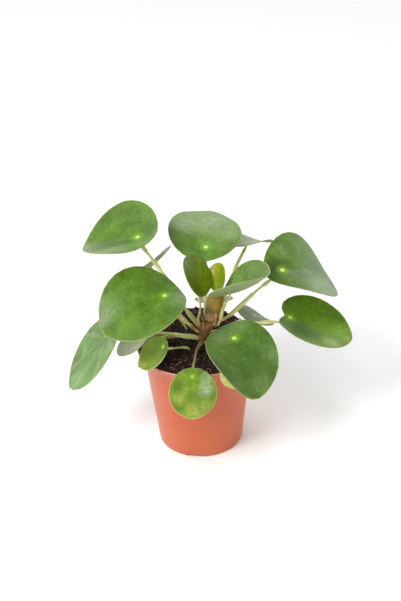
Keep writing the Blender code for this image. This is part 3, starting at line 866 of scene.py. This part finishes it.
leafLooks = {
    "usual": {
        "deep": linear(70, 104, 16), "bright": linear(98, 138, 34), "under": linear(154, 168, 122),
        "spot": linear(206, 226, 110), "margin": linear(150, 156, 92), "veins": 0.05, "specks": 0.45,
        "glow": 1.0,  # how bright the spot over the stalk is
        "mottle": 0.45,  # how strong the darker flecks are
        "shine": 0.33,  # specular level
    },
    "pale": {
        "deep": linear(64, 104, 26), "bright": linear(98, 138, 52), "veins": 0.55, "specks": 0.2,
        "glow": 0.1,
    },
    # painted glare: this leaf is seen at a grazing angle, and its grey sheen is painted in as its colour, on
    # both sides
    "paintedGlareGrey": {
        "deep": linear(180, 194, 152), "bright": linear(204, 214, 182), "under": linear(176, 188, 156),
        "specks": 0.2, "glow": 0.3,
    },
    "cool": {"deep": linear(66, 98, 28), "bright": linear(92, 130, 50)},
    "dark": {
        "deep": linear(64, 90, 20), "bright": linear(92, 118, 36), "specks": 0.9, "glow": 0.3,
        "shine": 0.22,
    },
    "shaded": {
        "deep": linear(106, 126, 64), "bright": linear(124, 146, 84), "under": linear(124, 142, 84),
        "specks": 0.2, "glow": 0.3, "shine": 0.22,
    },
    "fresh": {"deep": linear(92, 128, 24), "bright": linear(132, 160, 48), "margin": linear(196, 198, 116)},
    "mottled": {
        "deep": linear(84, 120, 14), "bright": linear(132, 162, 48), "margin": linear(208, 208, 134),
        "specks": 0.9, "glow": 0.4,
    },
    "middle": {
        "deep": linear(66, 98, 18), "bright": linear(92, 128, 34), "under": linear(142, 158, 106),
        "margin": linear(170, 176, 120),
    },
    "smooth": {"mottle": 0.2},
    "satin": {"deep": linear(80, 116, 14), "bright": linear(110, 148, 32), "shine": 0.14},
    "young": {
        "deep": linear(106, 128, 0), "bright": linear(148, 168, 6), "under": linear(150, 160, 50),
        "margin": linear(196, 172, 70), "glow": 0.0, "shine": 0.2,
    },
    "olive": {
        "deep": linear(84, 110, 0), "bright": linear(114, 138, 4), "under": linear(120, 134, 50),
        "margin": linear(108, 120, 50), "glow": 0.0, "shine": 0.2,
    },
    # the young leaf's own pale straw colour, made brighter still as painted light where the leaf above
    # shades it
    "paintedLightStraw": {
        "deep": linear(206, 210, 116), "bright": linear(230, 228, 150), "under": linear(200, 204, 120),
        "margin": linear(214, 160, 104), "glow": 0.2,
    },
}

# the greyish washes are painted glare; the plain green ones lighten or darken patches of a leaf, partly its
# own mottling and partly painted light and shade; the straw-yellow ones are the leaf's own yellowing
leafDress = {  # washes: across and onward from the stalk and radius in mm, colour, strength
    "top_left": {"washes": [
        (24, 40, 20, paintedGlare, 0.12), (26, 14, 16, paintedGlare, 0.4), (16, -10, 12, paintedGlare, 0.2),
        (-5, -14, 10, linear(60, 90, 22), 0.6),
    ]},
    "top_back": {"look": "smooth", "washes": [
        (12, 46, 30, paintedGlare, 0.36), (-16, 40, 30, paintedGlare, 0.28), (30, 28, 16, paintedGlare, 0.4),
        (24, -6, 12, linear(70, 104, 16), 0.45), (-10, 5, 14, linear(112, 146, 64), 0.5),
        (-21, 18, 9, linear(134, 162, 104), 0.45),
    ]},
    "large_left": {"washes": [
        (-8, 62, 14, paintedGlare, 0.12), (13, -12, 12, paintedGlare, 0.12), (28, 42, 12, linear(62, 98, 14), 0.4),
    ]},
    "low_left": {"look": "pale", "washes": [(4, 50, 14, paintedGlare, 0.2)]},
    "low_left_rear": {"look": "paintedGlareGrey"},
    "small_left": {"look": "fresh", "washes": [
        (1, 28, 10, strawYellow, 0.36), (-5, 20, 9, linear(96, 126, 30), 0.4),
        (-14, 10, 8, linear(140, 168, 66), 0.6),
    ]},
    "front": {"look": "mottled", "washes": [
        (-14, 8, 7, linear(60, 96, 6), 0.6), (-12, 20, 8, strawYellow, 0.3), (12, 13, 8, palePaintedGlare, 0.45),
        (14, 2, 7, palePaintedGlare, 0.35), (0, 32, 8, strawYellow, 0.4), (12, 29, 9, linear(150, 168, 76), 0.5),
        (-1, 17, 5, linear(80, 114, 26), 0.5),
    ]},
    "front_right": {"look": "cool", "washes": [
        (-12, -8, 14, paintedGlare, 0.25), (10, -14, 12, paintedGlare, 0.2), (26, 28, 12, paintedGlare, 0.13),
        (7, 52, 12, linear(108, 134, 70), 0.5),
    ]},
    "front_right_young": {"look": "paintedLightStraw"},
    # painted light: the wash at 20 across and 14 onward brightens a patch of this leaf that lies in shade
    "right": {"look": "satin", "washes": [
        (2, 56, 16, linear(144, 176, 80), 0.4), (-16, 12, 18, linear(52, 86, 0), 0.8),
        (-14, 30, 14, linear(70, 104, 6), 0.6), (-20, 44, 12, linear(150, 174, 96), 0.6),
        (20, 14, 20, linear(104, 142, 30), 0.6),
    ]},
    "upper_right": {"washes": [
        (-34, 30, 24, paintedGlare, 0.35), (-12, 12, 12, linear(80, 104, 50), 0.4),
        (8, -4, 12, linear(50, 74, 24), 0.7), (22, 12, 12, linear(118, 150, 80), 0.5),
    ]},
    "low_right_rear": {"look": "dark"},
    "rear": {"look": "dark"},
    "back_left": {"look": "dark"},
    "back_right": {"look": "shaded"},
    "centre_right": {"look": "middle", "washes": [(15, 4, 10, linear(114, 154, 64), 0.6)]},
    "young_centre": {"look": "olive", "washes": [
        (8, 34, 16, paintedGlare, 0.25), (-6, 2, 10, linear(120, 140, 10), 0.7),
    ]},
    "youngest": {"look": "young", "washes": [(8, 18, 9, strawYellow, 0.5)]},
}


def leafSkin(name, look, washes):
    design = leafDesign
    material, tree, shader = startMaterial(name, 0.36, Subsurface_Weight=0.1, Subsurface_Scale=0.002)
    shader.inputs["Specular IOR Level"].default_value = look["shine"]
    place = objectSpace(tree)
    plan = addNode(tree, "UVMap", uv_map="leafPlan").outputs[0]
    plan = addNode(tree, "Mapping", {"Vector": plan, "Location": (-0.5, -0.5, 0)}).outputs[0]
    reach = addNode(tree, "VectorMath", {0: plan}, operation="LENGTH").outputs["Value"]
    ray = addNode(tree, "VectorMath", {0: plan}, operation="NORMALIZE").outputs["Vector"]
    parts = addNode(tree, "SeparateXYZ", {0: plan})
    turn = compute(tree, "ARCTAN2", parts.outputs["X"], parts.outputs["Y"])
    margin = addNode(tree, "Attribute", attribute_name="margin").outputs["Fac"]
    upper = addNode(tree, "Attribute", attribute_name="upper").outputs["Fac"]

    patch = noiseOf(tree, place, design["patchScale"], 4, 0.6)
    mottle = noiseOf(tree, place, design["mottleScale"], 4, 0.6)
    colour = blendColour(tree, between(tree, patch, 0.28, 0.74), look["deep"], look["bright"])
    # each wash blends a soft round patch of colour in: painted glare, painted light and shade, and the
    # leaf's own yellowing and mottling
    for across, onward, radius, tone, strength in washes:
        centre = (across / design["planWidth"], onward / design["planWidth"], 0)
        away = addNode(tree, "VectorMath", {0: plan, 1: centre}, operation="DISTANCE").outputs["Value"]
        wide = radius / design["planWidth"]
        share = between(tree, away, 0.25 * wide, 1.3 * wide, 1.2 * strength, 0)
        share = compute(tree, "MULTIPLY", share, between(tree, mottle, 0.35, 0.62, 0.75, 1.05))
        colour = blendColour(tree, share, colour, tone)
    darker = blendColour(tree, 1.0, colour, design["fleckShade"], "MULTIPLY")
    colour = blendColour(tree, between(tree, mottle, 0.42, 0.6, look["mottle"], 0), colour, darker)
    wander = compute(tree, "MULTIPLY_ADD", patch, 0.9, turn)
    fan = compute(tree, "COSINE", compute(tree, "MULTIPLY", wander, design["fanTurns"]))
    fan = compute(tree, "MULTIPLY", between(tree, fan, 0.55, 1.0), between(tree, reach, 0.04, 0.16))
    narrow = (design["rayScale"],) * 3
    rays = addNode(tree, "VectorMath", {0: ray, 1: narrow}, operation="MULTIPLY").outputs["Vector"]
    outward = compute(tree, "MULTIPLY", reach, design["rayStretch"])
    stretch = addNode(tree, "CombineXYZ", {"Z": outward}).outputs[0]
    rays = addNode(tree, "VectorMath", {0: rays, 1: stretch}, operation="ADD").outputs["Vector"]
    streak = noiseOf(tree, rays, 1.0, 3, 0.6)
    paler = blendColour(tree, 0.5, colour, look["margin"])
    colour = blendColour(tree, compute(tree, "MULTIPLY", fan, look["veins"]), colour, paler)
    colour = blendColour(tree, between(tree, streak, 0.58, 0.75, 0, 0.14), colour, paler)

    rusty = compute(tree, "MULTIPLY", between(tree, margin, 0.8, 0.95), between(tree, mottle, 0.4, 0.6))
    colour = blendColour(tree, compute(tree, "MULTIPLY", rusty, 0.5), colour, design["rust"])
    colour = blendColour(tree, between(tree, margin, 0.93, 0.985, 0, 0.5), colour, look["margin"])
    glow = between(tree, reach, 0.02, 0.085, 0.7 * look["glow"], 0)
    colour = blendColour(tree, glow, colour, design["glowGreen"])
    colour = blendColour(tree, between(tree, reach, 0.01, 0.03, look["glow"], 0), colour, look["spot"])
    keys = {"Vector": place, "Scale": design["speckScale"]}
    grains = addNode(tree, "TexVoronoi", keys, feature="F1").outputs["Distance"]
    chosen = between(tree, noiseOf(tree, place, design["speckPatchScale"], 2), 0.55, 0.62)
    speck = compute(tree, "MULTIPLY", between(tree, grains, 0.12, 0.2, look["specks"], 0), chosen)
    colour = blendColour(tree, speck, colour, design["speckGrey"])
    underTone = blendColour(tree, between(tree, streak, 0.45, 0.8, 0, 0.4), look["under"], darker)
    colour = blendColour(tree, upper, underTone, colour)
    tree.links.new(colour, shader.inputs["Base Color"])

    rough = between(tree, mottle, 0.3, 0.7, 0.3, 0.44)
    rough = compute(tree, "ADD", rough, between(tree, upper, 0.3, 0.7, 0.16, 0))
    tree.links.new(rough, shader.inputs["Roughness"])
    height = compute(tree, "MULTIPLY_ADD", fan, 0.3, compute(tree, "MULTIPLY", mottle, 0.8))
    height = compute(tree, "MULTIPLY_ADD", streak, 0.5, height)
    blister = noiseOf(tree, place, design["blisterScale"], 2, 0.4)
    height = compute(tree, "MULTIPLY_ADD", blister, 0.9, height)
    bumpTo(tree, shader, height, 0.35 * mm, 0.8)
    return material


def stalkTip(leaf, bladeTree):  # where the stalk meets the blade
    points = [vert.co for vert in nodes["stalk_" + leaf].data.vertices]
    points.sort(key=lambda point: bladeTree.find_nearest(point)[3])
    nearest = points[:stalkDesign["tipPoints"]]
    return sum(nearest, Vector()) / len(nearest)


def bladeFrame(leaf, blade):
    bladeTree = BVHTree.FromObject(blade, bpy.context.evaluated_depsgraph_get())
    tip = stalkTip(leaf, bladeTree)
    joint, below, _, _ = bladeTree.find_nearest(tip)
    facing = leafDesign["facing"]
    upper = [face for face in blade.data.polygons if face.normal.dot(below) < -facing]
    up = sum((face.normal * face.area for face in upper), Vector()).normalized()
    far = max((vert.co for vert in blade.data.vertices), key=lambda point: (point - joint).length)
    along = (far - joint) - up * (far - joint).dot(up)
    along.normalize()
    return joint, up, along, up.cross(along)


def makeBlade(leaf):
    design = leafDesign
    blade = copyOfNode("blade_" + leaf, "leafBlade_" + leaf)
    joint, up, along, left = bladeFrame(leaf, blade)
    size = max(blade.dimensions)
    margin = blade.data.attributes.new("margin", "FLOAT", "POINT")
    upper = blade.data.attributes.new("upper", "FLOAT", "POINT")
    for vert in blade.data.vertices:
        upper.data[vert.index].value = 1 if vert.normal.dot(up) > 0 else 0
    for edge in blade.data.edges:
        low, high = (blade.data.vertices[k] for k in edge.vertices)
        span = high.co - low.co
        upright = abs(span.normalized().dot(up)) > design["rimUpright"]
        if upright and span.length < design["rimSpan"] * mm:
            lower, higher = (low, high) if span.dot(up) > 0 else (high, low)
            upper.data[lower.index].value, upper.data[higher.index].value = 0, 1
            margin.data[low.index].value = margin.data[high.index].value = 1
    edgeOf = [item.value > 0.5 for item in margin.data]
    openForEdit(blade, "EDGE")
    pickEdges(blade, lambda edge: all(edgeOf[vert.index] for vert in edge.verts))
    bpy.ops.transform.edge_crease(value=design["rimCrease"])
    closeEdit()
    subdivide(blade, design["levels"])
    waveSize, waveHeight = design["wave"]
    ripple(blade, waveSize * mm, waveHeight * mm * min(1, size / (design["fullWave"] * mm)), "Z")
    dimple = blade.vertex_groups.new(name="dimple")
    upper = blade.data.attributes["upper"]
    for vert in blade.data.vertices:
        near = 1 - (vert.co - joint).length / (design["dimpleReach"] * mm)
        if near > 0:
            share = near**2 * (1 if upper.data[vert.index].value > 0.5 else design["dimpleBelow"])
            dimple.add([vert.index], share, "REPLACE")
    modifier = blade.modifiers.new("dimple", "DISPLACE")
    modifier.strength = -design["dimple"] * mm
    modifier.mid_level = 0
    modifier.vertex_group = "dimple"
    applyLast(blade)
    blade.vertex_groups.clear()
    plan = blade.data.uv_layers.new(name="leafPlan")
    planWidth = design["planWidth"] * mm
    for loop in blade.data.loops:
        offset = blade.data.vertices[loop.vertex_index].co - joint
        across, onward = offset.dot(left) / planWidth, offset.dot(along) / planWidth
        plan.data[loop.index].uv = (0.5 + across, 0.5 + onward)
    dress = leafDress[leaf]
    kind = dress.get("look", "usual")
    look = {**leafLooks["usual"], **leafLooks[kind]}
    material = leafSkin("leafSkin_" + leaf, look, dress.get("washes", ()))
    finish(blade, material, ["blade_" + leaf])


for leaf in leafNames:
    makeBlade(leaf)
print("leaves made")
